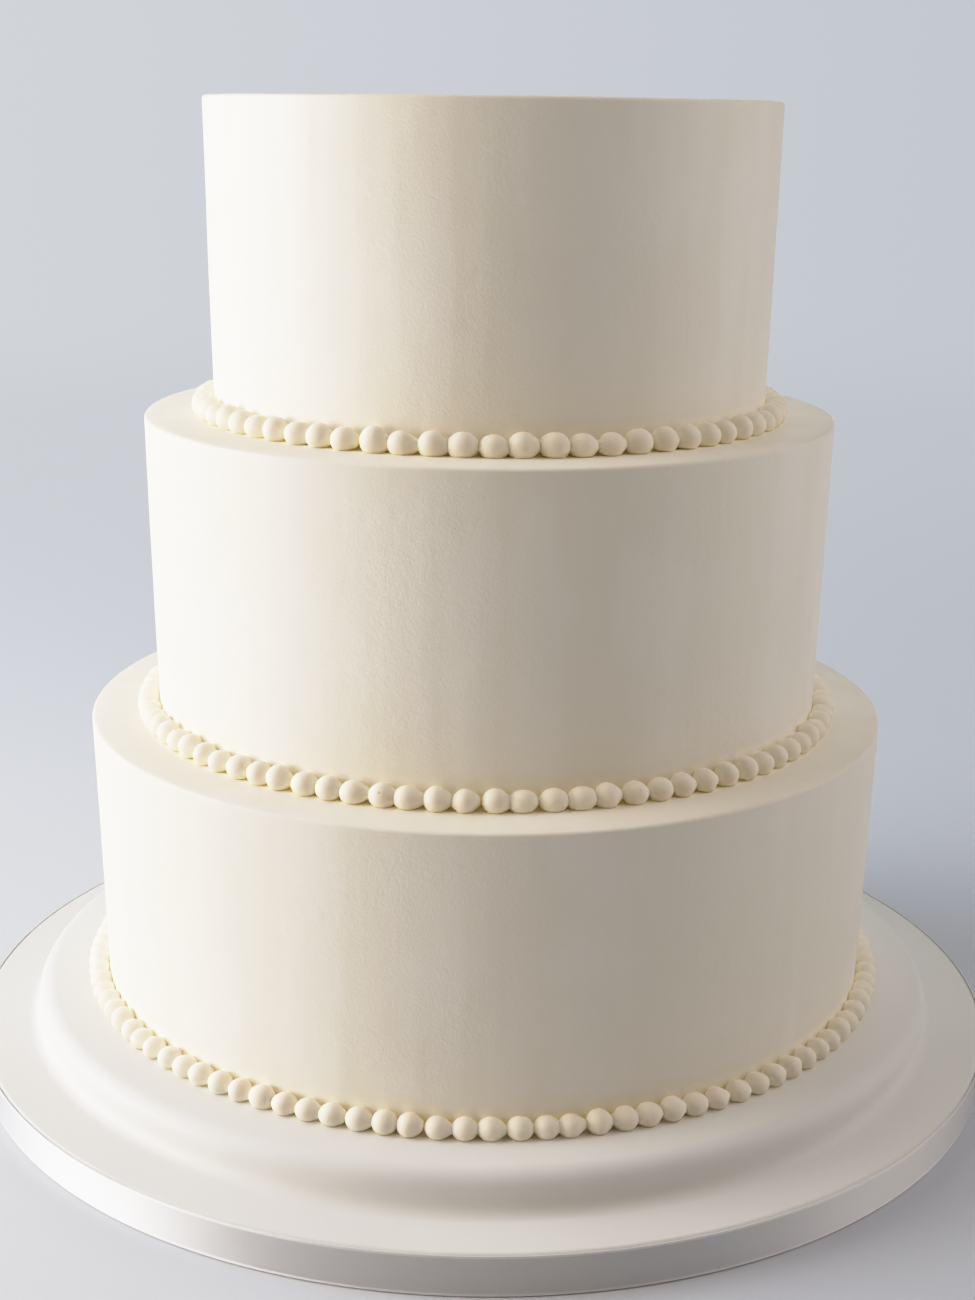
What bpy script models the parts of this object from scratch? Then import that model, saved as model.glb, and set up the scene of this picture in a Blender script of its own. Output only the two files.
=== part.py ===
"""A three-tier wedding cake in smooth buttercream, with a border of piped beads round the foot of
each tier, on a stepped board that is covered in fondant and edged with satin ribbon.

Metres, +Z up. The origin is on the cake's axis, at the middle of the board's underside.
Run it with blender --background --python part.py, or from Blender's text editor.
"""

import math
import random

import bmesh
import bpy

INCH = 0.0254

# Driving dimensions: tins and cake boards come in whole inches
BOARD_RADIUS = 8 * INCH
STEP_RADIUS = 7 * INCH + 0.0025
TIER_RADII = {"bottom": 6 * INCH, "middle": 5 * INCH, "top": 4 * INCH}
TIER_HEIGHTS = {"bottom": 0.108, "middle": 0.111, "top": 0.107}

# The board: a drum with a smaller one on it, under one sheet of fondant that rounds every corner
BOARD_HEIGHT = 0.016
STEP_HEIGHT = 0.015
BOARD_RIM_ROUNDING = 0.0015
SHOULDER_ROUNDING = 0.007
COVE_ROUNDING = 0.005

# The ribbon lies on the drum's edge, just clear of what the board stands on
RIBBON_WIDTH = 0.015
RIBBON_THICKNESS = 0.0006
RIBBON_FOOT = 0.0005

# The icing's top edge, and how far each piece stays from what it rests on
ICING_EDGE_ROUNDING = 0.0035
FIT_GAP = 0.0003

# One piped bead: its height, its depth out from the wall, and the level of its widest part as a
# share of the height, a little low because a bead settles where it is piped
BEAD_HEIGHT = 0.0081
BEAD_DEPTH = 0.0090
BEAD_WAIST = 0.47

# The spacing of the beads along each border, a little wider from tier to tier going up
BEAD_PITCHES = {"bottom": 0.00923, "middle": 0.00941, "top": 0.00969}

# A hand-piped row is uneven. These are the largest changes, as shares of the bead's own size
SIZE_CHANGE = 0.06
PITCH_CHANGE = 0.07
PLACE_CHANGE = 0.04

# A bead's facets: the points round its section, in degrees from the side that faces out, up and
# over to the wall. Along the border it has a full section on each side of its middle, that share
# of the pitch away from it, and a neck of this share of the full section to the bead before it
SECTION_ANGLES = (0, 48, 95, 160, 232, 300)
FULL_SECTION_AWAY = 0.23
NECK_SHARE = 0.42

TURNED_SIDES = 72
EDGE_STEPS = 3
RIM_STEPS = 2

# Linear colours with roughness, one for each real material
MATERIALS = {
    "buttercream": ((0.86, 0.80, 0.70), 0.55),
    "piped buttercream": ((0.88, 0.81, 0.69), 0.50),
    "fondant": ((0.84, 0.81, 0.77), 0.60),
    "satin ribbon": ((0.80, 0.78, 0.75), 0.30),
}


def clear_scene():
    """Empties the scene of whatever it starts with."""
    for thing in list(bpy.data.objects):
        bpy.data.objects.remove(thing)


def finish(name):
    """The named material, made on first use."""
    found = bpy.data.materials.get(name)
    if found:
        return found
    colour, roughness = MATERIALS[name]
    made = bpy.data.materials.new(name)
    made.use_nodes = True
    shader = made.node_tree.nodes["Principled BSDF"]
    shader.inputs["Base Color"].default_value = (*colour, 1)
    shader.inputs["Roughness"].default_value = roughness
    shader.inputs["Metallic"].default_value = 0
    return made


def arc(centre, radius, start, end, steps):
    """Points (distance from the axis, height) along an arc, with its angles in degrees."""
    angles = [math.radians(start + (end - start) * step / steps) for step in range(steps + 1)]
    return [(centre[0] + radius * math.cos(a), centre[1] + radius * math.sin(a)) for a in angles]


def add_object(name, body, material, parent):
    """Turns a finished bmesh into a named, smooth-shaded object that stands with its parent."""
    bmesh.ops.recalc_face_normals(body, faces=body.faces)
    mesh = bpy.data.meshes.new(name)
    body.to_mesh(mesh)
    body.free()
    mesh.materials.append(finish(material))
    mesh.shade_smooth()
    mesh.set_sharp_from_angle(angle=math.radians(40))
    made = bpy.data.objects.new(name, mesh)
    bpy.context.scene.collection.objects.link(made)
    made.parent = parent
    return made


def turn(name, profile, material, parent, closed=False):
    """Spins a profile of (distance from the axis, height) once round the cake's axis."""
    body = bmesh.new()
    corners = [body.verts.new((reach, 0, height)) for reach, height in profile]
    lines = [body.edges.new(pair) for pair in zip(corners, corners[1:])]
    if closed:
        lines.append(body.edges.new((corners[-1], corners[0])))
    bmesh.ops.spin(
        body,
        geom=corners + lines,
        cent=(0, 0, 0),
        axis=(0, 0, 1),
        angle=math.tau,
        steps=TURNED_SIDES,
    )
    bmesh.ops.remove_doubles(body, verts=body.verts, dist=1e-5)
    return add_object(name, body, material, parent)


def make_board(parent):
    """The two drums under their one sheet of fondant."""
    top = BOARD_HEIGHT + STEP_HEIGHT
    rim_centre = (BOARD_RADIUS - BOARD_RIM_ROUNDING, BOARD_HEIGHT - BOARD_RIM_ROUNDING)
    cove_centre = (STEP_RADIUS + COVE_ROUNDING, BOARD_HEIGHT + COVE_ROUNDING)
    shoulder_centre = (STEP_RADIUS - SHOULDER_ROUNDING, top - SHOULDER_ROUNDING)
    profile = [(0, 0), (BOARD_RADIUS, 0)]
    profile += arc(rim_centre, BOARD_RIM_ROUNDING, 0, 90, RIM_STEPS)
    profile += arc(cove_centre, COVE_ROUNDING, 270, 180, EDGE_STEPS)
    profile += arc(shoulder_centre, SHOULDER_ROUNDING, 0, 90, EDGE_STEPS)
    profile.append((0, top))
    return turn("board", profile, "fondant", parent)


def make_ribbon(parent):
    """The satin ribbon round the drum's edge."""
    inner = BOARD_RADIUS + FIT_GAP
    outer = inner + RIBBON_THICKNESS
    top = RIBBON_FOOT + RIBBON_WIDTH
    profile = [(inner, RIBBON_FOOT), (outer, RIBBON_FOOT), (outer, top), (inner, top)]
    return turn("board_ribbon", profile, "satin ribbon", parent, closed=True)


def make_tier(tier, shelf, parent):
    """One iced tier that stands on the shelf below it."""
    radius = TIER_RADII[tier]
    foot = shelf + FIT_GAP
    top = shelf + TIER_HEIGHTS[tier]
    edge_centre = (radius - ICING_EDGE_ROUNDING, top - ICING_EDGE_ROUNDING)
    profile = [(0, foot), (radius, foot)]
    profile += arc(edge_centre, ICING_EDGE_ROUNDING, 0, 90, EDGE_STEPS)
    profile.append((0, top))
    return turn(f"tier_{tier}", profile, "buttercream", parent)


def bead_row(tier, ring_radius):
    """The beads of one border, each as (angle round the axis, angle it takes, size, shift out)."""
    draw = random.Random(tier)
    count = round(math.tau * ring_radius / BEAD_PITCHES[tier])
    pitches = [1 + draw.uniform(-PITCH_CHANGE, PITCH_CHANGE) for _ in range(count)]
    share = math.tau / sum(pitches)
    row, angle = [], 0
    for pitch in pitches:
        step = pitch * share
        size = 1 + draw.uniform(-SIZE_CHANGE, SIZE_CHANGE)
        shift = draw.uniform(-PLACE_CHANGE, PLACE_CHANGE) * BEAD_DEPTH
        row.append((angle + step / 2, step, size, shift))
        angle += step
    return row


def bead_sections(angle, step, size, shift):
    """A bead's sections along the border, each as (angle, girth, shift out, height of its waist).

    A neck belongs to two beads, so only the full sections take the bead's own size and place.
    """
    waist = BEAD_WAIST * BEAD_HEIGHT
    away = FULL_SECTION_AWAY * step
    neck = (angle - step / 2, NECK_SHARE, 0, waist)
    return [neck] + [(angle + side * away, size, shift, waist * size) for side in (-1, 1)]


def section_points(reach, waist, girth, wall, seat):
    """The points of one section as (distance from the axis, height), clear of wall and seat."""
    points = []
    for degrees in SECTION_ANGLES:
        angle = math.radians(degrees)
        out = reach + girth * BEAD_DEPTH / 2 * math.cos(angle)
        up = seat + waist + girth * (1 - BEAD_WAIST) * BEAD_HEIGHT * math.sin(angle)
        points.append((max(out, wall), max(up, seat)))
    return points


def make_beads(tier, shelf, parent):
    """The border round a tier's foot. Its beads run into each other, so they are one piece."""
    wall = TIER_RADII[tier] + FIT_GAP
    seat = shelf + FIT_GAP
    ring_radius = wall + BEAD_DEPTH / 2
    body = bmesh.new()
    loops = []
    for bead in bead_row(tier, ring_radius):
        for angle, girth, shift, waist in bead_sections(*bead):
            points = section_points(ring_radius + shift, waist, girth, wall, seat)
            spots = [(out * math.cos(angle), out * math.sin(angle), up) for out, up in points]
            loops.append([body.verts.new(spot) for spot in spots])
    for loop, following in zip(loops, loops[1:] + loops[:1]):
        for side, corner in enumerate(loop):
            after = (side + 1) % len(loop)
            body.faces.new((corner, loop[after], following[after], following[side]))
    return add_object(f"beads_{tier}", body, "piped buttercream", parent)


def main():
    clear_scene()
    cake = bpy.data.objects.new("cake", None)
    bpy.context.scene.collection.objects.link(cake)
    make_board(cake)
    make_ribbon(cake)
    shelf = BOARD_HEIGHT + STEP_HEIGHT
    for tier in TIER_RADII:
        make_tier(tier, shelf, cake)
        make_beads(tier, shelf, cake)
        shelf += TIER_HEIGHTS[tier]


main()
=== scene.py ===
"""Looks for a tiered wedding cake: smoothed buttercream on three tiers, a piped pearl border at the
foot of each, a stepped board under one sheet of fondant, its satin ribbon, and a plain stage.

Metres, +Z up, in the frame of the packed model. Every piece is placed from that model's nodes.
"""

import math
import random

import bmesh
import bpy
from bpy.props import FloatProperty, FloatVectorProperty, IntProperty, PointerProperty
from mathutils import Matrix, Vector


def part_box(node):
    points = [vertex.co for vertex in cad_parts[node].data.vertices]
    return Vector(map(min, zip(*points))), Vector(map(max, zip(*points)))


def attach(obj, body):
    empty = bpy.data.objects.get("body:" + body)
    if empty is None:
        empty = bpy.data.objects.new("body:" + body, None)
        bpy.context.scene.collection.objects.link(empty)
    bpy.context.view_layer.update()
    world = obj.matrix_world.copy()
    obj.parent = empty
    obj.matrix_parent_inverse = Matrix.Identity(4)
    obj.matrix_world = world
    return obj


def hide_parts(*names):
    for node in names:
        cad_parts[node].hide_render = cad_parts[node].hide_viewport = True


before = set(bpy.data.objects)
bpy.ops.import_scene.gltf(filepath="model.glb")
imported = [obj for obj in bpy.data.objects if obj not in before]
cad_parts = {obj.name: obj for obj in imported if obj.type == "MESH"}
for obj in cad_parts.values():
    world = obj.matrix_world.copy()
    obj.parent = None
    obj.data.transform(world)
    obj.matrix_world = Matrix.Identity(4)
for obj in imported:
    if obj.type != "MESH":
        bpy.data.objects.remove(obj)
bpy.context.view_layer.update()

bl_info = {
    "name": "Tiered wedding cake",
    "version": (1, 0, 0),
    "blender": (4, 5, 0),
    "location": "3D View > Sidebar > Cake",
    "description": "Ices, pipes and dresses a tiered cake round its fixed solids",
    "category": "Object",
}

TIERS = ("bottom", "middle", "top")
SMALL = 1e-5


def size_property(name, description, default, **more):
    """A length that a user may change, in metres."""
    return FloatProperty(
        name=name,
        description=description,
        default=default,
        min=0,
        unit="LENGTH",
        precision=5,
        **more,
    )


def share_property(name, description, default):
    """A share from 0 to 1."""
    return FloatProperty(
        name=name, description=description, default=default, min=0, max=1, subtype="FACTOR"
    )


def colour_property(name, description, default):
    """A linear colour."""
    return FloatVectorProperty(
        name=name, description=description, default=default, min=0, max=1, size=3, subtype="COLOR"
    )


class CAKE_PG_icing(bpy.types.PropertyGroup):
    """Buttercream on the tiers"""

    edge_rounding: size_property(
        "Edge rounding", "Radius of the smoothed top edge of each tier", 0.0015
    )
    streak_depth: size_property(
        "Streak depth", "Depth of the upright marks that the scraper leaves on a wall", 0.00016
    )
    sway_depth: size_property(
        "Sway depth", "How far a wall or a top wanders from true over a hand's width", 0.00045
    )
    grain: size_property("Grain", "Size of the finest grain in the buttercream", 0.0008)
    colour: colour_property("Buttercream", "Colour of the open surface", (0.95, 0.905, 0.80))
    # Painted light: the colours and reaches below make the cream brighter and yellower beside and
    # inside a border's crevices, a painted glow in place of light passing through the cream and
    # bouncing between beads, wall and shelf
    painted_glow_colour: colour_property(
        "Painted buttercream glow", "Colour beside a crevice, where light passes through the cream",
        (0.985, 0.94, 0.825),
    )
    painted_crevice_glow_colour: colour_property(
        "Painted crevice glow", "Colour inside a crevice", (0.99, 0.925, 0.64)
    )
    painted_glow_reach: size_property(
        "Painted glow reach", "How far the warm colour spreads up a wall from a border", 0.005
    )
    shelf_reach: size_property(
        "Shelf reach", "How far the warm colour spreads over a shelf from a border", 0.003
    )
    roughness: share_property("Roughness", "Roughness of the smoothed surface", 0.55)
    relief: share_property("Relief", "How strongly grain and streaks show", 0.4)
    streak_strength: FloatProperty(
        name="Streak strength",
        description="Relief of the scraper's upright streaks against that of the grain",
        default=1.2,
        min=0,
        soft_max=3,
        subtype="FACTOR",
    )


class CAKE_PG_piping(bpy.types.PropertyGroup):
    """Piped pearl borders"""

    bead_height: size_property("Bead height", "Height of one piped bead", 0.0069)
    bead_depth: size_property("Bead depth", "How far a bead stands out from the wall", 0.0081)
    overlap: share_property(
        "Overlap", "How far neighbouring beads run into each other, as a share of their pitch", 0.07
    )
    size_change: share_property(
        "Size change", "Largest change of a bead's size from the common one", 0.05
    )
    squash_change: share_property(
        "Squash change", "Largest share by which a bead has sunk under its own weight, or not", 0.08
    )
    place_change: size_property(
        "Place change", "Largest distance of a bead from the true line", 0.00035
    )
    tail: size_property("Tail", "Length of the point that the tube draws out of a bead", 0.0013)
    colour: colour_property("Piped buttercream", "Colour of the beads", (0.98, 0.89, 0.74))
    roughness: share_property("Roughness", "Roughness of the piped surface", 0.48)
    depth_of_light: size_property(
        "Depth of light", "How far light travels in the cream before it comes out again", 0.002
    )
    seed: IntProperty(
        name="Seed", description="Start of the random draws for the beads", default=7
    )


class CAKE_PG_board(bpy.types.PropertyGroup):
    """Stepped board with its fondant and ribbon"""

    rim_rounding: size_property("Rim rounding", "Radius of the fondant at the rim", 0.0015)
    shoulder: size_property("Shoulder", "Radius of the fondant over the step's edge", 0.007)
    cove: size_property("Cove", "Radius of the fondant in the step's inner corner", 0.005)
    sway_depth: size_property(
        "Sway depth", "How far the fondant wanders from true over a hand's width", 0.0004
    )
    fondant: colour_property("Fondant", "Colour of the board's covering", (0.85, 0.84, 0.805))
    fondant_roughness: share_property("Fondant roughness", "Roughness of the fondant", 0.5)
    ribbon: colour_property("Ribbon", "Colour of the satin", (0.8, 0.8, 0.8))
    ribbon_roughness: share_property("Ribbon roughness", "Roughness of the satin", 0.6)
    selvedge: size_property("Selvedge", "Width of the ribbon's woven edge", 0.0009)


class CAKE_PG_stage(bpy.types.PropertyGroup):
    """Floor, light and camera"""

    # Painted light: the floor is lighter on the left, where the window light falls, and darker on
    # the right, in the cake's shade
    floor_left_lit: colour_property("Floor left", "Colour of the floor on the left", (0.75, 0.78, 0.82))
    floor_right_shaded: colour_property(
        "Floor right", "Colour of the floor on the right", (0.62, 0.655, 0.715)
    )
    # Painted light: the backdrop is lighter on the left, towards the window light, and darker on
    # the right
    backdrop_left_lit: colour_property(
        "Backdrop left", "Colour of the backdrop on the left", (0.64, 0.665, 0.71)
    )
    backdrop_right_shaded: colour_property(
        "Backdrop right", "Colour of the backdrop on the right", (0.55, 0.575, 0.625)
    )
    ambient: colour_property("Ambient", "Light from all round", (0.0, 0.0, 0.0))
    highlight_start: share_property(
        "Highlight start", "Brightness from which the picture eases towards white", 0.6
    )
    camera_distance: size_property(
        "Camera distance", "Level distance from the cake's axis to the lens", 0.69712
    )
    camera_height: size_property("Camera height", "Height of the lens over the floor", 0.34966)
    camera_pitch: FloatProperty(
        name="Camera pitch",
        description="How far the lens looks down",
        default=math.radians(21.64),
        subtype="ANGLE",
    )
    camera_roll: FloatProperty(
        name="Camera roll",
        description="How far the camera leans to one side",
        default=math.radians(0.74),
        subtype="ANGLE",
    )


def settings():
    """The scene's property groups, as (icing, piping, board, stage)."""
    scene = bpy.context.scene
    return scene.cake_icing, scene.cake_piping, scene.cake_board, scene.cake_stage


# Modelling helpers


def begin(add, **size_and_place):
    """Adds a primitive with nothing else selected, opens it for editing and returns it."""
    if bpy.context.mode != "OBJECT":
        bpy.ops.object.mode_set(mode="OBJECT")
    bpy.ops.object.select_all(action="DESELECT")
    add(**size_and_place)
    piece = bpy.context.active_object
    bpy.ops.object.transform_apply(location=True, rotation=True, scale=True)
    bpy.ops.object.mode_set(mode="EDIT")
    bpy.ops.mesh.select_all(action="DESELECT")
    return piece


def pick(piece, kind, test):
    """Selects, in edit mode, just the elements of one kind that the test accepts."""
    bpy.ops.mesh.select_mode(type=kind)
    bpy.ops.mesh.select_all(action="DESELECT")
    mesh = bmesh.from_edit_mesh(piece.data)
    for element in {"VERT": mesh.verts, "EDGE": mesh.edges, "FACE": mesh.faces}[kind]:
        if test(element):
            element.select_set(True)
    mesh.select_flush_mode()
    bmesh.update_edit_mesh(piece.data)


def reach_of(point):
    """Distance of a point from the cake's axis."""
    return math.hypot(point.x, point.y)


def middle_of(edge):
    """The point halfway along an edge."""
    return (edge.verts[0].co + edge.verts[1].co) / 2


def is_level(edge):
    """Whether both ends of an edge are at one height."""
    return abs(edge.verts[0].co.z - edge.verts[1].co.z) < SMALL


def pick_rings(piece, height, radius=None):
    """Selects the level edges that run round the axis at that height, and that radius if given."""

    def on_ring(edge):
        reaches = [reach_of(vert.co) for vert in edge.verts]
        return (
            is_level(edge)
            and abs(middle_of(edge).z - height) < SMALL
            and abs(reaches[0] - reaches[1]) < SMALL
            and (radius is None or abs(reaches[0] - radius) < SMALL)
        )

    pick(piece, "EDGE", on_ring)


def pick_upright(piece, low, high):
    """Selects the upright edges that run from one height to the other."""

    def upright(edge):
        heights = sorted(vert.co.z for vert in edge.verts)
        return abs(heights[0] - low) < SMALL and abs(heights[1] - high) < SMALL

    pick(piece, "EDGE", upright)


def pick_cap(piece, height, radius):
    """Selects the level faces at that height that lie within the radius."""

    def on_cap(face):
        centre = face.calc_center_median()
        return (
            abs(abs(face.normal.z) - 1) < 1e-3
            and abs(centre.z - height) < SMALL
            and reach_of(centre) < radius
        )

    pick(piece, "FACE", on_cap)


def close_cap(piece, height, radius, rings):
    """Divides a level round cap into rings of faces and closes its middle in one point."""
    pick_cap(piece, height, radius)
    step = radius / (rings + 1)
    for _ in range(rings):
        bpy.ops.mesh.inset(thickness=step, depth=0)
    bpy.ops.mesh.poke()


def finish_edit(piece):
    """Leaves edit mode with doubled points merged and the faces pointing out."""
    bpy.ops.mesh.select_all(action="SELECT")
    bpy.ops.mesh.remove_doubles(threshold=SMALL)
    bpy.ops.mesh.normals_make_consistent(inside=False)
    bpy.ops.object.mode_set(mode="OBJECT")


def grade(piece, name, weight):
    """Adds a vertex group with the weight that the function gives each point."""
    group = piece.vertex_groups.new(name=name)
    for vert in piece.data.vertices:
        group.add([vert.index], weight(vert), "REPLACE")
    return group


def wander(piece, name, depth, patch, stretch=(1, 1, 1), group="", offset=(0, 0, 0), detail=2):
    """Sinks the surface by a smooth random amount, at most depth, in patches of that size."""
    guide = bpy.data.objects.new(name + " guide", None)
    bpy.context.scene.collection.objects.link(guide)
    guide.scale = stretch
    guide.location = offset
    texture = bpy.data.textures.new(name, "CLOUDS")
    texture.noise_scale = patch
    texture.noise_depth = detail
    bpy.context.view_layer.update()
    change = piece.modifiers.new(name, "DISPLACE")
    change.texture = texture
    change.texture_coords = "OBJECT"
    change.texture_coords_object = guide
    change.direction = "NORMAL"
    change.mid_level = 1
    change.strength = depth
    change.vertex_group = group
    apply(piece, change)
    bpy.data.objects.remove(guide)
    bpy.data.textures.remove(texture)


def apply(piece, modifier):
    """Makes what a modifier does part of the mesh."""
    bpy.ops.object.select_all(action="DESELECT")
    piece.select_set(True)
    bpy.context.view_layer.objects.active = piece
    bpy.ops.object.modifier_apply(modifier=modifier.name)


def shade(piece, angle=math.radians(50)):
    """Shades a piece smooth, and sharp over edges steeper than the angle."""
    bpy.ops.object.select_all(action="DESELECT")
    piece.select_set(True)
    bpy.context.view_layer.objects.active = piece
    bpy.ops.object.shade_smooth_by_angle(angle=angle)


def place(piece, name, nodes, material):
    """Names a finished piece, gives it its material and sets it in for the nodes it stands for."""
    piece.name = piece.data.name = name
    piece.data.materials.clear()
    piece.data.materials.append(material)
    piece.vertex_groups.clear()
    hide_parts(*nodes)
    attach(piece, "root")
    return piece


# Materials


class Nodes:
    """Adds nodes to a tree, and links or sets their inputs by name or number."""

    def __init__(self, tree):
        self.tree = tree

    def add(self, kind, inputs=None, **settings_):
        node = self.tree.nodes.new(kind)
        for name, value in settings_.items():
            setattr(node, name, value)
        for name, value in (inputs or {}).items():
            self.feed(node.inputs[name], value)
        return node

    def feed(self, socket, value):
        if isinstance(value, bpy.types.NodeSocket):
            self.tree.links.new(value, socket)
        else:
            socket.default_value = value

    def maths(self, operation, *values, clamp=False):
        node = self.add("ShaderNodeMath", operation=operation, use_clamp=clamp)
        for socket, value in zip(node.inputs, values):
            self.feed(socket, value)
        return node.outputs[0]

    def fade(self, value, start, end, kind="SMOOTHSTEP"):
        """1 at start, 0 at end, for start and end in either order."""
        node = self.add("ShaderNodeMapRange", interpolation_type=kind)
        given = {"Value": value, "From Min": start, "From Max": end, "To Min": 1.0, "To Max": 0.0}
        for name, number in given.items():
            self.feed(node.inputs[name], number)
        return node.outputs["Result"]

    def mix(self, factor, first, second):
        node = self.add("ShaderNodeMix", data_type="RGBA")
        for name, value in (("Factor_Float", factor), ("A_Color", first), ("B_Color", second)):
            socket = next(s for s in node.inputs if s.identifier == name)
            self.feed(socket, value)
        return next(s for s in node.outputs if s.identifier == "Result_Color")

    def noise(self, vector, patch, detail=2.0):
        inputs = {"Vector": vector, "Scale": 1 / patch, "Detail": detail}
        return self.add("ShaderNodeTexNoise", inputs).outputs["Fac"]


def rgba(colour):
    """A colour with full opacity, as a colour socket takes it."""
    return (*colour, 1)


def new_group(name, inputs, outputs):
    """An empty shader node group with its sockets, as (group, nodes, input node, output node)."""
    group = bpy.data.node_groups.new(name, "ShaderNodeTree")
    for direction, sockets in (("INPUT", inputs), ("OUTPUT", outputs)):
        for socket, (kind, default) in sockets.items():
            made = group.interface.new_socket(socket, in_out=direction, socket_type=kind)
            if default is not None:
                made.default_value = default
    nodes = Nodes(group)
    return group, nodes, nodes.add("NodeGroupInput"), nodes.add("NodeGroupOutput")


# The grain's width as a share of a pebble's, and the grain's height and a bubble's depth against
# a pebble's height
GRAIN_TO_PEBBLE = 0.24
FINE_RELIEF = 0.55
BUBBLE_RELIEF = 1.6

# The height that a relief of 1 stands for at full strength
CREAM_BUMP = 0.0003
FONDANT_BUMP = 0.0004
THREAD_BUMP = 0.00008


def cream_relief():
    """Relief of a fatty cream: fine grain, soft pebbling, and a few burst air bubbles."""
    name = "Cream relief"
    if name in bpy.data.node_groups:
        return bpy.data.node_groups[name]
    group, nodes, entry, result = new_group(
        name,
        {
            "Vector": ("NodeSocketVector", None),
            "Grain": ("NodeSocketFloat", 0.0008),
            "Bubble spacing": ("NodeSocketFloat", 0.01),
        },
        {"Height": ("NodeSocketFloat", None)},
    )
    vector = entry.outputs["Vector"]
    fine_scale = nodes.maths("DIVIDE", 1.0, entry.outputs["Grain"])
    fine = nodes.add(
        "ShaderNodeTexNoise", {"Vector": vector, "Scale": fine_scale, "Detail": 1.0}
    ).outputs["Fac"]
    pebble_scale = nodes.maths("MULTIPLY", fine_scale, GRAIN_TO_PEBBLE)
    pebbles = nodes.add(
        "ShaderNodeTexNoise", {"Vector": vector, "Scale": pebble_scale, "Detail": 2.0}
    ).outputs["Fac"]
    # The pebbled look comes and goes over the surface
    patches = nodes.fade(nodes.noise(vector, 0.035), 0.62, 0.42)
    bubble_scale = nodes.maths("DIVIDE", 1.0, entry.outputs["Bubble spacing"])
    cells = nodes.add("ShaderNodeTexVoronoi", {"Vector": vector, "Scale": bubble_scale})
    chance = nodes.add("ShaderNodeSeparateColor", {"Color": cells.outputs["Color"]})
    chosen = nodes.fade(chance.outputs["Red"], 0.16, 0.17)
    round_hole = nodes.fade(cells.outputs["Distance"], 0.025, 0.05)
    bubbles = nodes.maths("MULTIPLY", chosen, round_hole)
    height = nodes.maths("MULTIPLY", fine, FINE_RELIEF)
    height = nodes.maths("ADD", height, nodes.maths("MULTIPLY", pebbles, patches))
    height = nodes.maths("SUBTRACT", height, nodes.maths("MULTIPLY", bubbles, BUBBLE_RELIEF))
    nodes.feed(result.inputs["Height"], height)
    return group


def painted_glow_mask():
    """Where the painted glow lies: 1 behind and under a border, half at its outline, and fading
    over the wall and the shelf.
    """
    name = "Crevice"
    if name in bpy.data.node_groups:
        return bpy.data.node_groups[name]
    group, nodes, entry, result = new_group(
        name,
        {
            "Vector": ("NodeSocketVector", None),
            "Foot": ("NodeSocketFloat", 0.0),
            "Bead top": ("NodeSocketFloat", 0.007),
            "Wall reach": ("NodeSocketFloat", 0.007),
            "Shelf": ("NodeSocketFloat", 1.0),
            "Bead foot": ("NodeSocketFloat", 0.1),
            "Shelf reach": ("NodeSocketFloat", 0.003),
        },
        {"Mask": ("NodeSocketFloat", None)},
    )
    given = entry.outputs
    point = nodes.add("ShaderNodeSeparateXYZ", {"Vector": given["Vector"]})
    flat = nodes.add("ShaderNodeCombineXYZ", {"X": point.outputs["X"], "Y": point.outputs["Y"]})
    away = nodes.add("ShaderNodeVectorMath", {0: flat.outputs[0]}, operation="LENGTH")
    rise = nodes.maths("SUBTRACT", point.outputs["Z"], given["Bead top"])
    whole_bead = nodes.maths("SUBTRACT", given["Foot"], given["Bead top"])
    half_bead = nodes.maths("MULTIPLY", whole_bead, 0.5)
    behind = nodes.fade(rise, half_bead, 0.0)
    above = nodes.fade(rise, 0.0, given["Wall reach"])
    on_wall = nodes.maths("MULTIPLY", nodes.maths("ADD", behind, above), 0.5)
    out = nodes.maths("SUBTRACT", away.outputs["Value"], given["Bead foot"])
    under = nodes.fade(out, -0.002, 0.0)
    beside = nodes.fade(out, 0.0, given["Shelf reach"])
    near = nodes.maths("MULTIPLY", nodes.maths("ADD", under, beside), 0.5)
    level = nodes.fade(
        point.outputs["Z"], given["Shelf"], nodes.maths("SUBTRACT", given["Shelf"], 0.002)
    )
    on_shelf = nodes.maths("MULTIPLY", near, level)
    nodes.feed(result.inputs["Mask"], nodes.maths("MAXIMUM", on_wall, on_shelf))
    return group


def cream_and_painted_glow_colour(nodes, crevice, open_colour):
    """The cream's colour with painted light: from the open surface to a brighter, yellower painted
    glow beside and inside a crevice, in place of light that passes through the cream and bounces
    there.
    """
    icing = settings()[0]
    glowing = nodes.mix(nodes.fade(crevice, 0.5, 0.0), open_colour, rgba(icing.painted_glow_colour))
    return nodes.mix(nodes.fade(crevice, 1.0, 0.5), glowing, rgba(icing.painted_crevice_glow_colour))


def new_material(name):
    """An empty material, as (material, nodes, Principled shader, object coordinates)."""
    material = bpy.data.materials.new(name)
    material.use_nodes = True
    nodes = Nodes(material.node_tree)
    shader = material.node_tree.nodes["Principled BSDF"]
    where = nodes.add("ShaderNodeTexCoord").outputs["Object"]
    return material, nodes, shader, where


def soften(shader, weight, depth):
    """Lets light through the shallow surface, as fat and sugar do."""
    shader.inputs["Subsurface Weight"].default_value = weight
    shader.inputs["Subsurface Radius"].default_value = (1, 1, 1)
    shader.inputs["Subsurface Scale"].default_value = depth


# Where a border's outline lies on the wall and the shelf, as shares of a bead's height and depth,
# which places the painted glow
OUTLINE_UP = 0.8
OUTLINE_OUT = 0.75

# The scraper draws every mark out upwards by the inverse of this
DRAWN_SHARE = 0.06

# The shares of the cream's red, green and blue that a buttery streak keeps
BUTTERY = (0.975, 0.967, 0.942)


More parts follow.
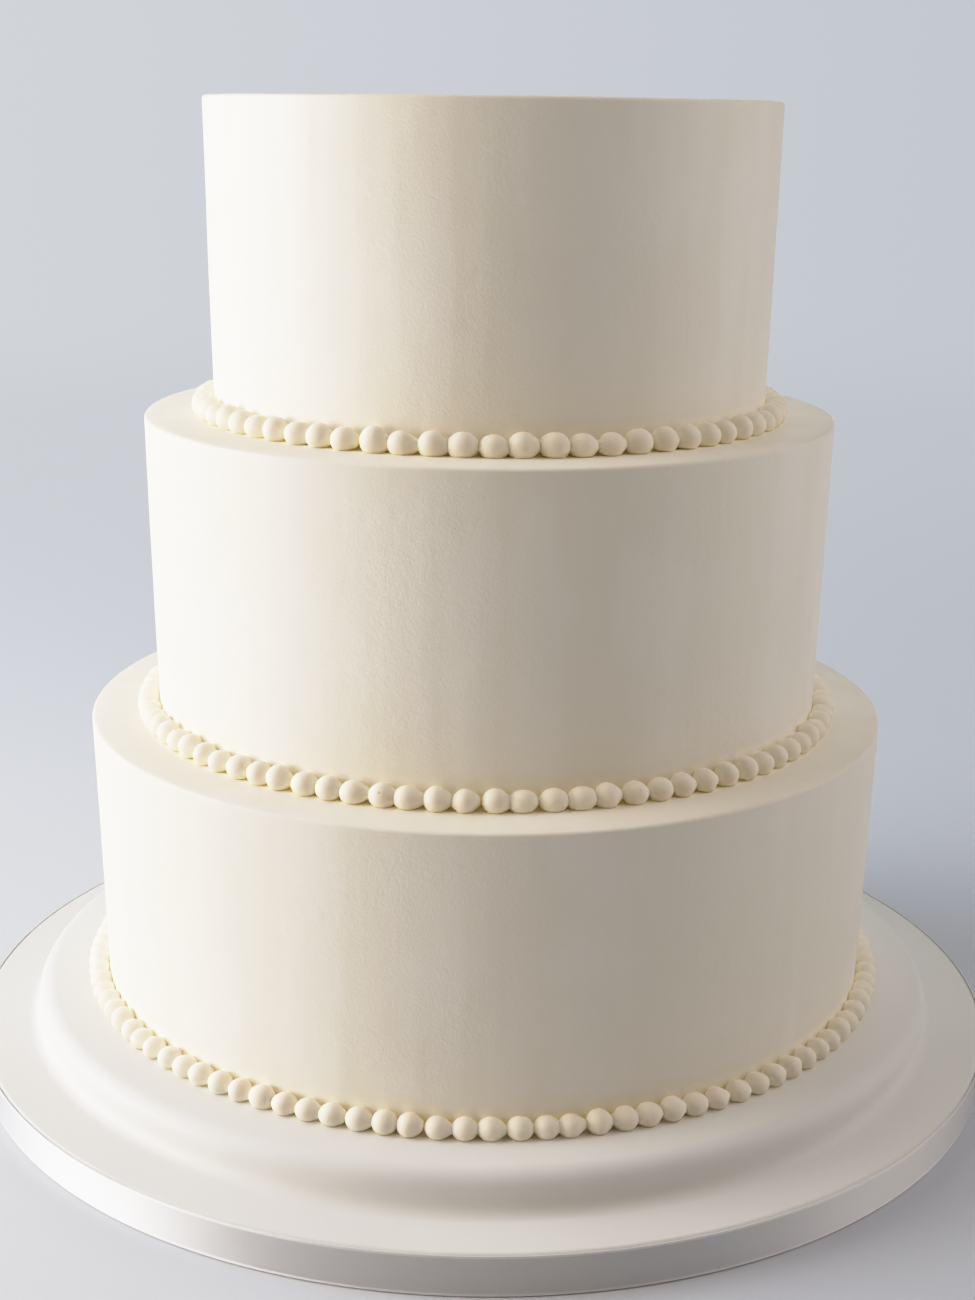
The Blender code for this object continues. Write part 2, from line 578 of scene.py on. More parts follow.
def icing_material(tier):
    """The smoothed buttercream of one tier, with a painted glow, brighter and yellower, where the
    borders above and below touch it.
    """
    icing, piping, _, _ = settings()
    material, nodes, shader, where = new_material(f"smoothed buttercream {tier}")
    low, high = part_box(f"tier_{tier}")
    above = TIERS[TIERS.index(tier) + 1 :][:1]
    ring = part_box(f"tier_{above[0]}")[1].x if above else -1
    # Painted light: the mask brightens and yellows the cream behind and above this tier's border
    # and on the shelf before the border above
    mask = nodes.add(
        "ShaderNodeGroup",
        {
            "Vector": where,
            "Foot": low.z,
            "Bead top": low.z + piping.bead_height * OUTLINE_UP,
            "Wall reach": icing.painted_glow_reach,
            "Shelf": high.z,
            "Bead foot": ring + piping.bead_depth * OUTLINE_OUT,
            "Shelf reach": icing.shelf_reach,
        },
        node_tree=painted_glow_mask(),
    )
    relief = nodes.add(
        "ShaderNodeGroup",
        {"Vector": where, "Grain": icing.grain, "Bubble spacing": 0.012},
        node_tree=cream_relief(),
    )
    # The scraper leaves soft upright streaks on a wall, in its colour too
    stretch = {"Vector": where, "Scale": (1, 1, DRAWN_SHARE)}
    drawn = nodes.add("ShaderNodeMapping", stretch).outputs[0]
    clouds = nodes.maths("MULTIPLY", nodes.noise(where, 0.05), nodes.noise(drawn, 0.018))
    buttery = [channel * share for channel, share in zip(icing.colour, BUTTERY)]
    open_colour = nodes.mix(nodes.fade(clouds, 0.18, 0.34), rgba(icing.colour), rgba(buttery))
    nodes.feed(
        shader.inputs["Base Color"], cream_and_painted_glow_colour(nodes, mask.outputs["Mask"], open_colour)
    )
    streaks = nodes.maths("MULTIPLY", nodes.noise(drawn, 0.009, 1.5), icing.streak_strength)
    height = nodes.maths("ADD", relief.outputs["Height"], streaks)
    bump = nodes.add(
        "ShaderNodeBump", {"Height": height, "Strength": icing.relief, "Distance": CREAM_BUMP}
    )
    nodes.feed(shader.inputs["Normal"], bump.outputs["Normal"])
    gloss = nodes.maths("MULTIPLY", nodes.noise(where, 0.006), 0.12)
    nodes.feed(shader.inputs["Roughness"], nodes.maths("ADD", gloss, icing.roughness - 0.06))
    shader.inputs["Specular IOR Level"].default_value = 0.35
    return material


# The share of the light that goes into a bead before it comes out again
LIGHT_IN_BEADS = 0.3


def piping_material():
    """The beads' buttercream, with a painted glow, brighter and yellower, in the crevices between
    them, at their backs and at their feet.
    """
    icing, piping, _, _ = settings()
    material, nodes, shader, where = new_material("piped buttercream")
    crevice = nodes.add("ShaderNodeAttribute", attribute_name="crevice").outputs["Fac"]
    relief = nodes.add(
        "ShaderNodeGroup",
        {"Vector": where, "Grain": icing.grain, "Bubble spacing": 0.006},
        node_tree=cream_relief(),
    )
    # Painted light: the beads' crevice marks turn the colour brighter and yellower, in place of
    # light bounced between them and through the cream
    nodes.feed(shader.inputs["Base Color"], cream_and_painted_glow_colour(nodes, crevice, rgba(piping.colour)))
    bump = nodes.add(
        "ShaderNodeBump",
        {"Height": relief.outputs["Height"], "Strength": 0.25, "Distance": CREAM_BUMP},
    )
    nodes.feed(shader.inputs["Normal"], bump.outputs["Normal"])
    gloss = nodes.maths("MULTIPLY", nodes.noise(where, 0.003), 0.12)
    nodes.feed(shader.inputs["Roughness"], nodes.maths("ADD", gloss, piping.roughness - 0.06))
    shader.inputs["Specular IOR Level"].default_value = 0.25
    soften(shader, LIGHT_IN_BEADS, piping.depth_of_light)
    return material


def fondant_material():
    """The board's fondant: smooth, with a faint satin finish."""
    board = settings()[2]
    material, nodes, shader, where = new_material("fondant")
    soft = nodes.noise(where, 0.02, 3.0)
    fine = nodes.noise(where, 0.0007, 1.0)
    height = nodes.maths("ADD", soft, nodes.maths("MULTIPLY", fine, 0.12))
    relief = {"Height": height, "Strength": 0.2, "Distance": FONDANT_BUMP}
    bump = nodes.add("ShaderNodeBump", relief)
    nodes.feed(shader.inputs["Normal"], bump.outputs["Normal"])
    cloud = nodes.fade(nodes.noise(where, 0.06), 0.3, 0.7)
    nodes.feed(
        shader.inputs["Base Color"],
        nodes.mix(cloud, rgba(board.fondant), rgba([channel * 0.98 for channel in board.fondant])),
    )
    nodes.feed(
        shader.inputs["Roughness"],
        nodes.maths("ADD", nodes.maths("MULTIPLY", soft, 0.1), board.fondant_roughness - 0.05),
    )
    shader.inputs["Specular IOR Level"].default_value = 0.4
    return material


# The spacing of the weft at the ribbon's woven edges, and of its long warp threads
PICK_SPACING = 0.0006
THREAD_SPACING = 0.00032
SELVEDGE_BLEND = 0.0001


def ribbon_material():
    """Satin with long threads along the band, and a paler woven selvedge at each edge, its paleness
    partly the weave's own and partly a painted highlight where the edge catches the light.
    """
    board = settings()[2]
    material, nodes, shader, where = new_material("satin ribbon")
    low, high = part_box("board_ribbon")
    picks_round = round(math.tau * high.x / PICK_SPACING)
    height = nodes.add("ShaderNodeSeparateXYZ", {"Vector": where})
    # Satin shows its long warp threads, and its selvedge the weft that turns back over them
    turns = nodes.maths("MULTIPLY", height.outputs["Z"], math.tau / THREAD_SPACING)
    threads = nodes.maths("SINE", turns)
    turn = nodes.maths("ARCTAN2", height.outputs["Y"], height.outputs["X"])
    picks = nodes.maths("SINE", nodes.maths("MULTIPLY", turn, picks_round))
    low_end, high_end = low.z + board.selvedge, high.z - board.selvedge
    low_edge = nodes.fade(height.outputs["Z"], low_end, low_end + SELVEDGE_BLEND)
    high_edge = nodes.fade(height.outputs["Z"], high_end, high_end - SELVEDGE_BLEND)
    selvedge = nodes.maths("MAXIMUM", low_edge, high_edge)
    weave = nodes.add("ShaderNodeMix", data_type="FLOAT")
    for name, value in (("Factor_Float", selvedge), ("A_Float", threads), ("B_Float", picks)):
        nodes.feed(next(s for s in weave.inputs if s.identifier == name), value)
    bump = nodes.add(
        "ShaderNodeBump",
        {"Height": weave.outputs["Result"], "Strength": 0.4, "Distance": THREAD_BUMP},
    )
    nodes.feed(shader.inputs["Normal"], bump.outputs["Normal"])
    # Partly painted highlight: the selvedge is paler than the band for its own weave and for the
    # light that its edge catches
    pale_and_highlit = nodes.mix(selvedge, rgba(board.ribbon), rgba([min(1, c * 1.2) for c in board.ribbon]))
    nodes.feed(shader.inputs["Base Color"], pale_and_highlit)
    nodes.feed(
        shader.inputs["Roughness"],
        nodes.maths("ADD", nodes.maths("MULTIPLY", selvedge, 0.2), board.ribbon_roughness),
    )
    shader.inputs["Metallic"].default_value = 0.6
    # The long threads spread what they reflect across the band, and hardly along it
    shader.inputs["Anisotropic"].default_value = 0.9
    shader.inputs["Anisotropic Rotation"].default_value = 0.25
    shader.inputs["Sheen Weight"].default_value = 1.0
    shader.inputs["Sheen Roughness"].default_value = 0.5
    return material


def side_mask():
    """1 to the left of the direction that a vector gives, 0 to its right, and a fade between."""
    name = "Side"
    if name in bpy.data.node_groups:
        return bpy.data.node_groups[name]
    group, nodes, entry, result = new_group(
        name,
        {"Vector": ("NodeSocketVector", None)},
        {"Mask": ("NodeSocketFloat", None)},
    )
    level = nodes.add(
        "ShaderNodeVectorMath", {0: entry.outputs["Vector"]}, operation="NORMALIZE"
    ).outputs["Vector"]
    side = nodes.add("ShaderNodeSeparateXYZ", {"Vector": level}).outputs["X"]
    nodes.feed(result.inputs["Mask"], nodes.fade(side, -0.3, 0.3))
    return group


def two_sided(nodes, direction, left, right):
    """A colour that changes from left to right over the picture, for the painted light on the floor
    and the backdrop.
    """
    side = nodes.add("ShaderNodeGroup", {"Vector": direction}, node_tree=side_mask())
    return nodes.mix(side.outputs["Mask"], rgba(right), rgba(left))


def floor_material():
    """A pale floor with painted light, lighter on the left and darker on the right, that turns into
    the backdrop's colour far behind the cake.
    """
    stage = settings()[3]
    material, nodes, shader, where = new_material("floor")
    shader.inputs["Roughness"].default_value = 0.8
    eye = (CAMERA_ASIDE, -stage.camera_distance, 0)
    line = nodes.add("ShaderNodeVectorMath", {0: where, 1: eye}, operation="SUBTRACT")
    away = nodes.add("ShaderNodeVectorMath", {0: line.outputs[0]}, operation="LENGTH")
    # Evenly over the picture, so by the share of the way to the horizon
    nearness = nodes.maths("DIVIDE", 1.0, away.outputs["Value"])
    far = nodes.fade(nearness, 0.25, 1.3)
    near_colour = two_sided(nodes, line.outputs[0], stage.floor_left_lit, stage.floor_right_shaded)
    nodes.feed(shader.inputs["Base Color"], near_colour)
    far_colour = two_sided(nodes, line.outputs[0], stage.backdrop_left_lit, stage.backdrop_right_shaded)
    glow = nodes.add("ShaderNodeEmission", {"Color": far_colour, "Strength": 1.0})
    blend = nodes.add("ShaderNodeMixShader", {0: far})
    nodes.feed(blend.inputs[1], shader.outputs[0])
    nodes.feed(blend.inputs[2], glow.outputs[0])
    output = material.node_tree.nodes["Material Output"]
    nodes.feed(output.inputs["Surface"], blend.outputs[0])
    return material


def make_surround():
    """A world that the camera sees as the backdrop, with painted light lighter on the left, and the
    cake as the ambient colour.
    """
    stage = settings()[3]
    world = bpy.data.worlds.new("surround")
    world.use_nodes = True
    nodes = Nodes(world.node_tree)
    where = nodes.add("ShaderNodeTexCoord").outputs["Generated"]
    backdrop = two_sided(nodes, where, stage.backdrop_left_lit, stage.backdrop_right_shaded)
    seen = nodes.add("ShaderNodeLightPath").outputs["Is Camera Ray"]
    light = world.node_tree.nodes["Background"]
    nodes.feed(light.inputs["Color"], nodes.mix(seen, rgba(stage.ambient), backdrop))
    return world


# Pieces

ROUND_SIDES = 256
WALL_RINGS = 28
CAP_RINGS = 24
EDGE_SEGMENTS = 7

# How far an iced piece reaches into what it stands on, to close the frame's small gap
SINK = 0.0004

# The size of the patches in which a wall, a top or a rounded edge is uneven, how far the marks of
# the scraper are drawn out upwards, and how far apart the tiers' patterns lie in their texture
STREAK_PATCH = 0.006
SWAY_PATCH = 0.05
NICK_PATCH = 0.004
STREAK_STRETCH = 14
TIER_SHIFT = 0.31


def ice_tier(tier):
    """One tier: a cylinder with a rounded top edge, and the marks of the scraper on it."""
    icing = settings()[0]
    low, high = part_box(f"tier_{tier}")
    radius = high.x
    foot = low.z - SINK
    piece = begin(
        bpy.ops.mesh.primitive_cylinder_add,
        vertices=ROUND_SIDES,
        radius=radius,
        depth=high.z - foot,
        location=(0, 0, (high.z + foot) / 2),
    )
    pick_rings(piece, high.z)
    bpy.ops.mesh.bevel(offset=icing.edge_rounding, segments=EDGE_SEGMENTS, profile=0.5)
    pick_upright(piece, foot, high.z - icing.edge_rounding)
    bpy.ops.mesh.subdivide(number_cuts=WALL_RINGS)
    close_cap(piece, high.z, radius - icing.edge_rounding, CAP_RINGS)
    close_cap(piece, foot, radius, 1)
    finish_edit(piece)
    edge_start = high.z - icing.edge_rounding - SMALL
    grade(piece, "wall", lambda vert: float(SMALL < vert.co.z - foot and vert.co.z <= edge_start))
    grade(piece, "top", lambda vert: float(vert.co.z > high.z - SMALL))
    grade(piece, "edge", lambda vert: float(edge_start < vert.co.z < high.z - SMALL))
    grade(piece, "above foot", lambda vert: float(vert.co.z - foot > SMALL))
    shift = (0, 0, TIER_SHIFT * TIERS.index(tier))
    drawn = (1, 1, STREAK_STRETCH)
    wander(piece, "streaks", icing.streak_depth, STREAK_PATCH, drawn, "wall", shift)
    wander(piece, "sway", icing.sway_depth, SWAY_PATCH, (1, 1, 1), "above foot", shift, 1)
    wander(piece, "edge nicks", icing.streak_depth, NICK_PATCH, (1, 1, 1), "edge", shift)
    shade(piece)
    nodes = [f"tier_{tier}"]
    return place(piece, f"icing_{tier}", nodes, icing_material(tier))


BEAD_SEGMENTS = 16
BEAD_RINGS = 9

# The level of a bead's widest part as a share of its height, and how far that part is from the
# wall as a share of its depth: it settles on the shelf and against the wall
WAIST = 0.36
WAIST_OUT = 0.42

# Kinds of bead, each as (tail on the side the tube moves to, on the other side, pinhole, chance)
BEAD_KINDS = {
    "round": (0.15, 0.1, 0.0, 5),
    "drop": (1.0, 0.1, 0.0, 6),
    "short drop": (0.6, 0.2, 0.0, 7),
    "lemon": (0.8, 0.6, 0.0, 4),
    "pinholed": (0.4, 0.2, 1.0, 1),
}

# A tail starts at each of these shares of the half length, and what lies beyond moves by the other
TAIL_RINGS = ((0.69, 0.15), (0.85, 0.25), (0.97, 0.60))

# The share of its tails' length by which a bead is made shorter
TAIL_ROOM = 0.8

# A burst bubble in a bead: the way it faces, its rim's width, its slope's width and its depth
PINHOLE_AIM = Vector((0.15, -0.75, 0.65))
PINHOLE_RIM = 0.0005
PINHOLE_SLOPE = 0.00025
PINHOLE_DEPTH = 0.0006

# The most that a bead leans along its border, in radians
LEAN = 0.1

# Each border as (beads round it, angle of the first from the front in degrees, fullness)
BORDERS = {"bottom": (106, 1.5, 0.97), "middle": (86, 1.7, 1.0), "top": (67, 0.9, 1.05)}


def model_bead(kind, length, depth, height):
    """A bead at the origin: X runs along the border, -Y faces out and Z=0 is the shelf."""
    piping = settings()[1]
    tail_on, tail_back, pinhole, _ = BEAD_KINDS[kind]
    # The tails take their room from the bead, whose tips touch its neighbours
    pitch, length = length, length - TAIL_ROOM * (tail_on + tail_back) * piping.tail
    bead = begin(
        bpy.ops.mesh.primitive_uv_sphere_add,
        segments=BEAD_SEGMENTS,
        ring_count=BEAD_RINGS,
        radius=1,
        rotation=(0, math.pi / 2, 0),
    )
    bpy.ops.mesh.select_all(action="SELECT")
    bpy.ops.transform.resize(value=(length / 2, depth * (1 - WAIST_OUT), height * (1 - WAIST)))
    for side, tail in ((1, tail_on), (-1, tail_back)):
        for start, share in TAIL_RINGS:
            pick(bead, "VERT", lambda vert: side * vert.co.x > start * length / 2)
            bpy.ops.transform.translate(value=(side * share * tail * piping.tail, 0, 0))
    if pinhole:
        aim = PINHOLE_AIM.normalized()
        mesh = bmesh.from_edit_mesh(bead.data)
        nearest = max(mesh.faces, key=lambda face: face.normal.dot(aim)).index
        pick(bead, "FACE", lambda face: face.index == nearest)
        bpy.ops.mesh.inset(thickness=PINHOLE_RIM, depth=0)
        bpy.ops.mesh.inset(thickness=PINHOLE_SLOPE, depth=-PINHOLE_DEPTH)
    # What would go into the shelf or the wall is cut off flat
    bpy.ops.mesh.select_all(action="SELECT")
    aside = TAIL_ROOM * (tail_back - tail_on) / 2 * piping.tail
    bpy.ops.transform.translate(value=(aside, 0, WAIST * height))
    against = WAIST_OUT * depth + SINK
    for corner, outwards in (((0, 0, -SINK), (0, 0, -1)), ((0, against, 0), (0, 1, 0))):
        bpy.ops.mesh.select_all(action="SELECT")
        bpy.ops.mesh.bisect(plane_co=corner, plane_no=outwards, use_fill=True, clear_outer=True)
    finish_edit(bead)
    # Painted light: each point is marked by how near it lies to a neighbour, the wall or the shelf,
    # where the material turns it brighter and yellower
    crevice = bead.data.attributes.new("crevice", "FLOAT", "POINT")
    for vert, mark in zip(bead.data.vertices, crevice.data):
        aside = abs(vert.co.x) / (pitch / 2)
        back = vert.co.y / against
        foot = 1 - vert.co.z / (WAIST * height)
        mark.value = max(ease(aside, 0.6, 1.1), ease(back, 0.3, 1.1), ease(foot, 0.5, 1.1))
    return bead


def ease(value, start, end):
    """0 before start, 1 after end, and smooth between them."""
    share = min(1, max(0, (value - start) / (end - start)))
    return share * share * (3 - 2 * share)


def pipe_border(tier):
    """One border: beads copied from a few modelled kinds, set round the foot of the tier."""
    piping = settings()[1]
    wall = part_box(f"tier_{tier}")[1].x
    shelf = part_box(f"tier_{tier}")[0].z
    draw = random.Random(f"{piping.seed} {tier}")
    count, start, fullness = BORDERS[tier]
    depth = piping.bead_depth
    ring = wall + WAIST_OUT * depth
    length = math.tau * ring / count * (1 + piping.overlap)
    kinds = {
        kind: model_bead(kind, length, depth, piping.bead_height * fullness)
        for kind in BEAD_KINDS
    }
    chances = [chance for *_, chance in BEAD_KINDS.values()]
    beads = []
    for number in range(count):
        master = kinds[draw.choices(list(kinds), chances)[0]]
        bead = master.copy()
        bead.data = master.data.copy()
        bpy.context.scene.collection.objects.link(bead)
        size = 1 + draw.uniform(-1, 1) * piping.size_change
        along = draw.uniform(-1, 1) * piping.place_change / ring
        angle = math.tau * number / count + math.radians(start - 90) + along
        spot = Matrix.Rotation(angle + math.pi / 2, 4, "Z") @ Matrix.Translation((0, -ring, 0))
        tilt = Matrix.Rotation(draw.uniform(-LEAN, LEAN), 4, "Y")
        squash = draw.uniform(-1, 1) * piping.squash_change
        shape = Matrix.Diagonal((size * (1 + squash / 2), 1, size * (1 - squash), 1))
        raised = Matrix.Translation((0, 0, shelf))
        bead.data.transform(raised @ spot @ tilt @ shape)
        beads.append(bead)
    for master in kinds.values():
        bpy.data.objects.remove(master)
    bpy.ops.object.select_all(action="DESELECT")
    for bead in beads:
        bead.select_set(True)
    bpy.context.view_layer.objects.active = beads[0]
    bpy.ops.object.join()
    border = bpy.context.active_object
    shade(border, math.radians(80))
    nodes = [f"beads_{tier}"]
    return place(border, f"pearls_{tier}", nodes, piping_material())


# The drums under the fondant: the height of the lower one and the radius of the upper one
LEDGE_HEIGHT = 0.016
STEP_RADIUS = 0.1803

# Faces round the fondant's three rounded corners, and the size and place of its soft wave
SHOULDER_SEGMENTS = 10
COVE_SEGMENTS = 7
RIM_SEGMENTS = 4
WAVE_PATCH = 0.045
WAVE_SHIFT = (0.2, 0.1, 0)

# The height below the ledge over which the wave sets in
WAVE_START = 0.002


def cover_board():
    """The stepped board under its fondant: a disc whose inner part is raised, all corners eased."""
    board = settings()[2]
    _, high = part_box("board")
    radius = high.x
    piece = begin(
        bpy.ops.mesh.primitive_cylinder_add,
        vertices=ROUND_SIDES,
        radius=radius,
        depth=LEDGE_HEIGHT,
        location=(0, 0, LEDGE_HEIGHT / 2),
    )
    pick_cap(piece, LEDGE_HEIGHT, radius)
    bpy.ops.mesh.inset(thickness=radius - STEP_RADIUS, depth=0)
    raised = (0, 0, high.z - LEDGE_HEIGHT)
    bpy.ops.mesh.extrude_region_move(TRANSFORM_OT_translate={"value": raised})
    pick_rings(piece, high.z)
    bpy.ops.mesh.bevel(offset=board.shoulder, segments=SHOULDER_SEGMENTS, profile=0.5)
    pick_rings(piece, LEDGE_HEIGHT, STEP_RADIUS)
    bpy.ops.mesh.bevel(offset=board.cove, segments=COVE_SEGMENTS, profile=0.5)
    pick_rings(piece, LEDGE_HEIGHT, radius)
    bpy.ops.mesh.bevel(offset=board.rim_rounding, segments=RIM_SEGMENTS, profile=0.5)
    close_cap(piece, high.z, STEP_RADIUS - board.shoulder, CAP_RINGS)
    close_cap(piece, 0, radius, 2)
    finish_edit(piece)
    wavy_from = LEDGE_HEIGHT - WAVE_START
    grade(piece, "covered", lambda vert: ease(vert.co.z, wavy_from, LEDGE_HEIGHT))
    wander(piece, "sway", board.sway_depth, WAVE_PATCH, (1, 1, 1), "covered", WAVE_SHIFT, 1)
    shade(piece)
    return place(piece, "fondant_board", ["board"], fondant_material())


# The ribbon lies this far off the drum's edge, is this thick, laps over its own start by this,
# clears it by this, and comes down to the drum over this
RIBBON_CLEARANCE = 0.0003
RIBBON_WEIGHT = 0.0003
RIBBON_LAP = 0.009
LAP_CLEARANCE = 0.00005
RIBBON_RAMP = 0.012
RIBBON_STEPS = 250
SELVEDGE_RISE = 0.0001


def tie_ribbon():
    """The satin ribbon: one band with raised selvedges, its ends lapped at the back."""
    board = settings()[2]
    low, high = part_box("board_ribbon")
    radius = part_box("board")[1].x + RIBBON_CLEARANCE
    lifted = radius + RIBBON_WEIGHT + LAP_CLEARANCE
    centre = Vector((RIBBON_LAP / 2, lifted, (low.z + high.z) / 2))
    piece = begin(
        bpy.ops.mesh.primitive_plane_add, size=1, location=centre, rotation=(math.pi / 2, 0, 0)
    )
    bpy.ops.mesh.select_all(action="SELECT")
    bpy.ops.transform.resize(value=(RIBBON_LAP, 1, high.z - low.z), center_override=centre)
    # The lapped end runs down a ramp to the drum, and the band goes once round from there
    bend = RIBBON_RAMP / radius
    pick(piece, "EDGE", lambda edge: abs(middle_of(edge).x) < SMALL)
    ramp = Vector((-radius * math.sin(bend), radius * math.cos(bend) - lifted, 0))
    bpy.ops.mesh.extrude_region_move(TRANSFORM_OT_translate={"value": ramp})
    bpy.ops.mesh.spin(
        steps=RIBBON_STEPS, angle=math.tau - bend - SMALL, center=(0, 0, 0), axis=(0, 0, 1)
    )
    pick_upright(piece, low.z, high.z)
    bpy.ops.mesh.subdivide(number_cuts=5)
    # From each edge, the six bands become a selvedge, its fold and half of the face
    step = (high.z - low.z) / 6
    for count, inset in ((1, board.selvedge), (2, board.selvedge * 1.5)):
        for edge, sign in ((low.z, 1), (high.z, -1)):
            level = edge + sign * count * step
            pick(piece, "VERT", lambda vert: abs(vert.co.z - level) < SMALL)
            bpy.ops.transform.translate(value=(0, 0, edge + sign * inset - level))
    fold = board.selvedge * 1.25
    pick(piece, "VERT", lambda vert: min(vert.co.z - low.z, high.z - vert.co.z) < fold)
    swell = 1 + SELVEDGE_RISE / radius
    bpy.ops.transform.resize(value=(swell, swell, 1), center_override=(0, 0, 0))
    bpy.ops.mesh.select_all(action="SELECT")
    # The recalculation turns an open band's faces to the axis
    bpy.ops.mesh.normals_make_consistent(inside=False)
    bpy.ops.mesh.flip_normals()
    bpy.ops.object.mode_set(mode="OBJECT")
    thickness = piece.modifiers.new("thickness", "SOLIDIFY")
    thickness.thickness = RIBBON_WEIGHT
    thickness.offset = 1
    apply(piece, thickness)
    shade(piece)
    ribbon = place(piece, "satin_ribbon", ["board_ribbon"], ribbon_material())
    return ribbon


FLOOR_RADIUS = 6
FLOOR_SIDES = 96

# Pale cream passes light on many times in the crevices of a border
LIGHT_BOUNCES = 8


def set_stage():
    """Floor, soft lights, plain surround and the camera at the photograph's angle."""
    stage = settings()[3]
    floor = begin(
        bpy.ops.mesh.primitive_circle_add,
        vertices=FLOOR_SIDES,
        radius=FLOOR_RADIUS,
        fill_type="NGON",
    )
    bpy.ops.object.mode_set(mode="OBJECT")
    floor.name = "floor"
    floor.data.materials.append(floor_material())

    bpy.context.scene.world = make_surround()
    for name, measures in LIGHTS.items():
        add_light(name, *measures)

    lens = bpy.data.cameras.new("camera")
    camera = bpy.data.objects.new("camera", lens)
    bpy.context.scene.collection.objects.link(camera)
    bpy.context.scene.camera = camera
    camera.location = (CAMERA_ASIDE, -stage.camera_distance, stage.camera_height)
    tilt = Matrix.Rotation(math.pi / 2 - stage.camera_pitch, 4, "X")
    roll = Matrix.Rotation(stage.camera_roll, 4, "Z")
    camera.rotation_euler = (tilt @ roll).to_euler()
    lens.sensor_fit = "AUTO"
    lens.sensor_width = 36
    lens.lens = FOCAL_PIXELS / PHOTO_HEIGHT * lens.sensor_width
    lens.shift_y = SHIFT_PIXELS / PHOTO_HEIGHT
    lens.clip_start = 0.01

    ease_highlights(stage.highlight_start)
    bpy.context.scene.cycles.diffuse_bounces = LIGHT_BOUNCES


# Points of the film-like curve, and the brightness that it brings to white
CURVE_STEPS = 10
BRIGHTEST = 3.0


def ease_highlights(start):
    """Gives the picture a film-like curve: straight up to start, then easing towards white."""
    view = bpy.context.scene.view_settings
    view.view_transform = "Standard"
    view.use_curve_mapping = True
    mapping = view.curve_mapping
    mapping.white_level = (BRIGHTEST,) * 3
    curve = mapping.curves[3]
    curve.points[0].handle_type = "VECTOR"
    knee = curve.points.new(start / BRIGHTEST, start)
    knee.handle_type = "VECTOR"
    for step in range(1, CURVE_STEPS):
        level = start + (BRIGHTEST - start) * (step / CURVE_STEPS) ** 2
        seen = 1 - (1 - start) * math.exp((start - level) / (1 - start))
        curve.points.new(level / BRIGHTEST, seen)
    mapping.update()


# The camera as fitted to the photograph, in its pixels, and how far it stands aside, in metres
PHOTO_HEIGHT = 1300
FOCAL_PIXELS = 1838.95
SHIFT_PIXELS = 200
CAMERA_ASIDE = 0.00136

# The height that every light faces
LIGHT_AIM = 0.17

# Each light as (azimuth from the camera's side, elevation, distance, width, height, power, colour)
LIGHTS = {
    "low window": (-80, 6, 1.5, 1.0, 0.8, 20.45, (1.0, 0.911, 0.83)),
    "side window": (-100, 24, 1.5, 1.0, 1.6, 14.94, (0.712, 0.808, 1.0)),
    "high window": (-80, 50, 1.5, 1.0, 1.0, 6.27, (1.0, 0.909, 0.848)),
    "wall bounce": (90, 15, 1.5, 1.2, 1.2, 5.51, (1.0, 0.88, 0.763)),
    "ceiling bounce": (90, 50, 1.5, 1.2, 1.2, 6.89, (0.873, 0.885, 1.0)),
    "behind": (180, 25, 1.5, 1.2, 1.2, 4.29, (0.885, 0.999, 1.0)),
    "room": (0, 50, 1.5, 1.2, 1.2, 2.2, (1.0, 0.68, 0.27)),
}


def add_light(name, azimuth, elevation, distance, width, height, power, colour):
    """A rectangular soft light that faces the cake's middle."""
    lamp = bpy.data.lights.new(name, "AREA")
    lamp.shape = "RECTANGLE"
    lamp.size, lamp.size_y = width, height
    lamp.energy = power
    lamp.color = colour
    holder = bpy.data.objects.new(name, lamp)
    bpy.context.scene.collection.objects.link(holder)
    turn, rise = math.radians(azimuth), math.radians(elevation)
    aim = Vector(
        (math.sin(turn) * math.cos(rise), -math.cos(turn) * math.cos(rise), math.sin(rise))
    )
    holder.location = Vector((0, 0, LIGHT_AIM)) + aim * distance
    holder.rotation_euler = aim.to_track_quat("Z", "Y").to_euler()


# Operators and the panel


class CAKE_OT_ice_tiers(bpy.types.Operator):
    """Cover the three tiers with smoothed buttercream"""

    bl_idname = "cake.ice_tiers"
    bl_label = "Ice the tiers"

    def execute(self, context):
        for tier in TIERS:
            ice_tier(tier)
        return {"FINISHED"}


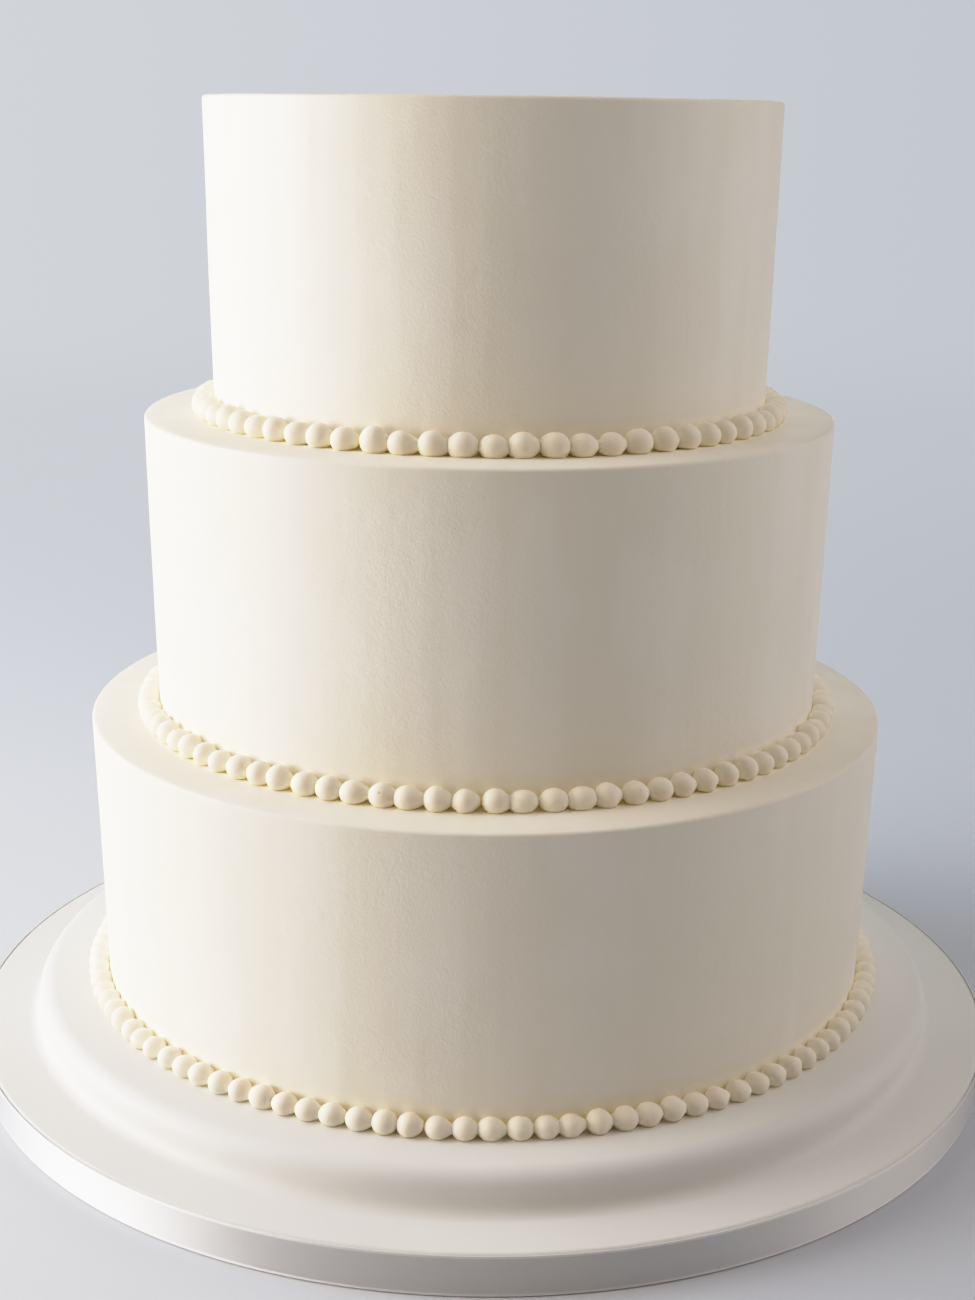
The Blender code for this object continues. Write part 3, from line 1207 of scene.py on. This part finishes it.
class CAKE_OT_pipe_borders(bpy.types.Operator):
    """Pipe a border of pearls round the foot of each tier"""

    bl_idname = "cake.pipe_borders"
    bl_label = "Pipe the borders"

    def execute(self, context):
        for tier in TIERS:
            pipe_border(tier)
        return {"FINISHED"}


class CAKE_OT_cover_board(bpy.types.Operator):
    """Cover the stepped board with fondant"""

    bl_idname = "cake.cover_board"
    bl_label = "Cover the board"

    def execute(self, context):
        cover_board()
        return {"FINISHED"}


class CAKE_OT_tie_ribbon(bpy.types.Operator):
    """Put the satin ribbon round the board"""

    bl_idname = "cake.tie_ribbon"
    bl_label = "Tie the ribbon"

    def execute(self, context):
        tie_ribbon()
        return {"FINISHED"}


class CAKE_OT_set_stage(bpy.types.Operator):
    """Add the floor, the soft lights and the camera"""

    bl_idname = "cake.set_stage"
    bl_label = "Set the stage"

    def execute(self, context):
        set_stage()
        return {"FINISHED"}


GROUPS = {
    "cake_icing": CAKE_PG_icing,
    "cake_piping": CAKE_PG_piping,
    "cake_board": CAKE_PG_board,
    "cake_stage": CAKE_PG_stage,
}
STEPS = (
    CAKE_OT_ice_tiers,
    CAKE_OT_pipe_borders,
    CAKE_OT_cover_board,
    CAKE_OT_tie_ribbon,
    CAKE_OT_set_stage,
)


class CAKE_PT_cake(bpy.types.Panel):
    """Lists the cake's settings and the steps that make it"""

    bl_idname = "CAKE_PT_cake"
    bl_label = "Tiered wedding cake"
    bl_space_type = "VIEW_3D"
    bl_region_type = "UI"
    bl_category = "Cake"

    def draw(self, context):
        for pointer, group in GROUPS.items():
            box = self.layout.box()
            box.label(text=group.__doc__)
            for name in group.__annotations__:
                box.prop(getattr(context.scene, pointer), name)
        for step in STEPS:
            self.layout.operator(step.bl_idname)


CLASSES = (*GROUPS.values(), *STEPS, CAKE_PT_cake)


def register():
    for made in CLASSES:
        bpy.utils.register_class(made)
    for pointer, group in GROUPS.items():
        setattr(bpy.types.Scene, pointer, PointerProperty(type=group))


def unregister():
    for pointer in GROUPS:
        delattr(bpy.types.Scene, pointer)
    for made in reversed(CLASSES):
        bpy.utils.unregister_class(made)


def main():
    register()
    for step in STEPS:
        area, name = step.bl_idname.split(".")
        getattr(getattr(bpy.ops, area), name)()


if __name__ == "__main__":
    main()
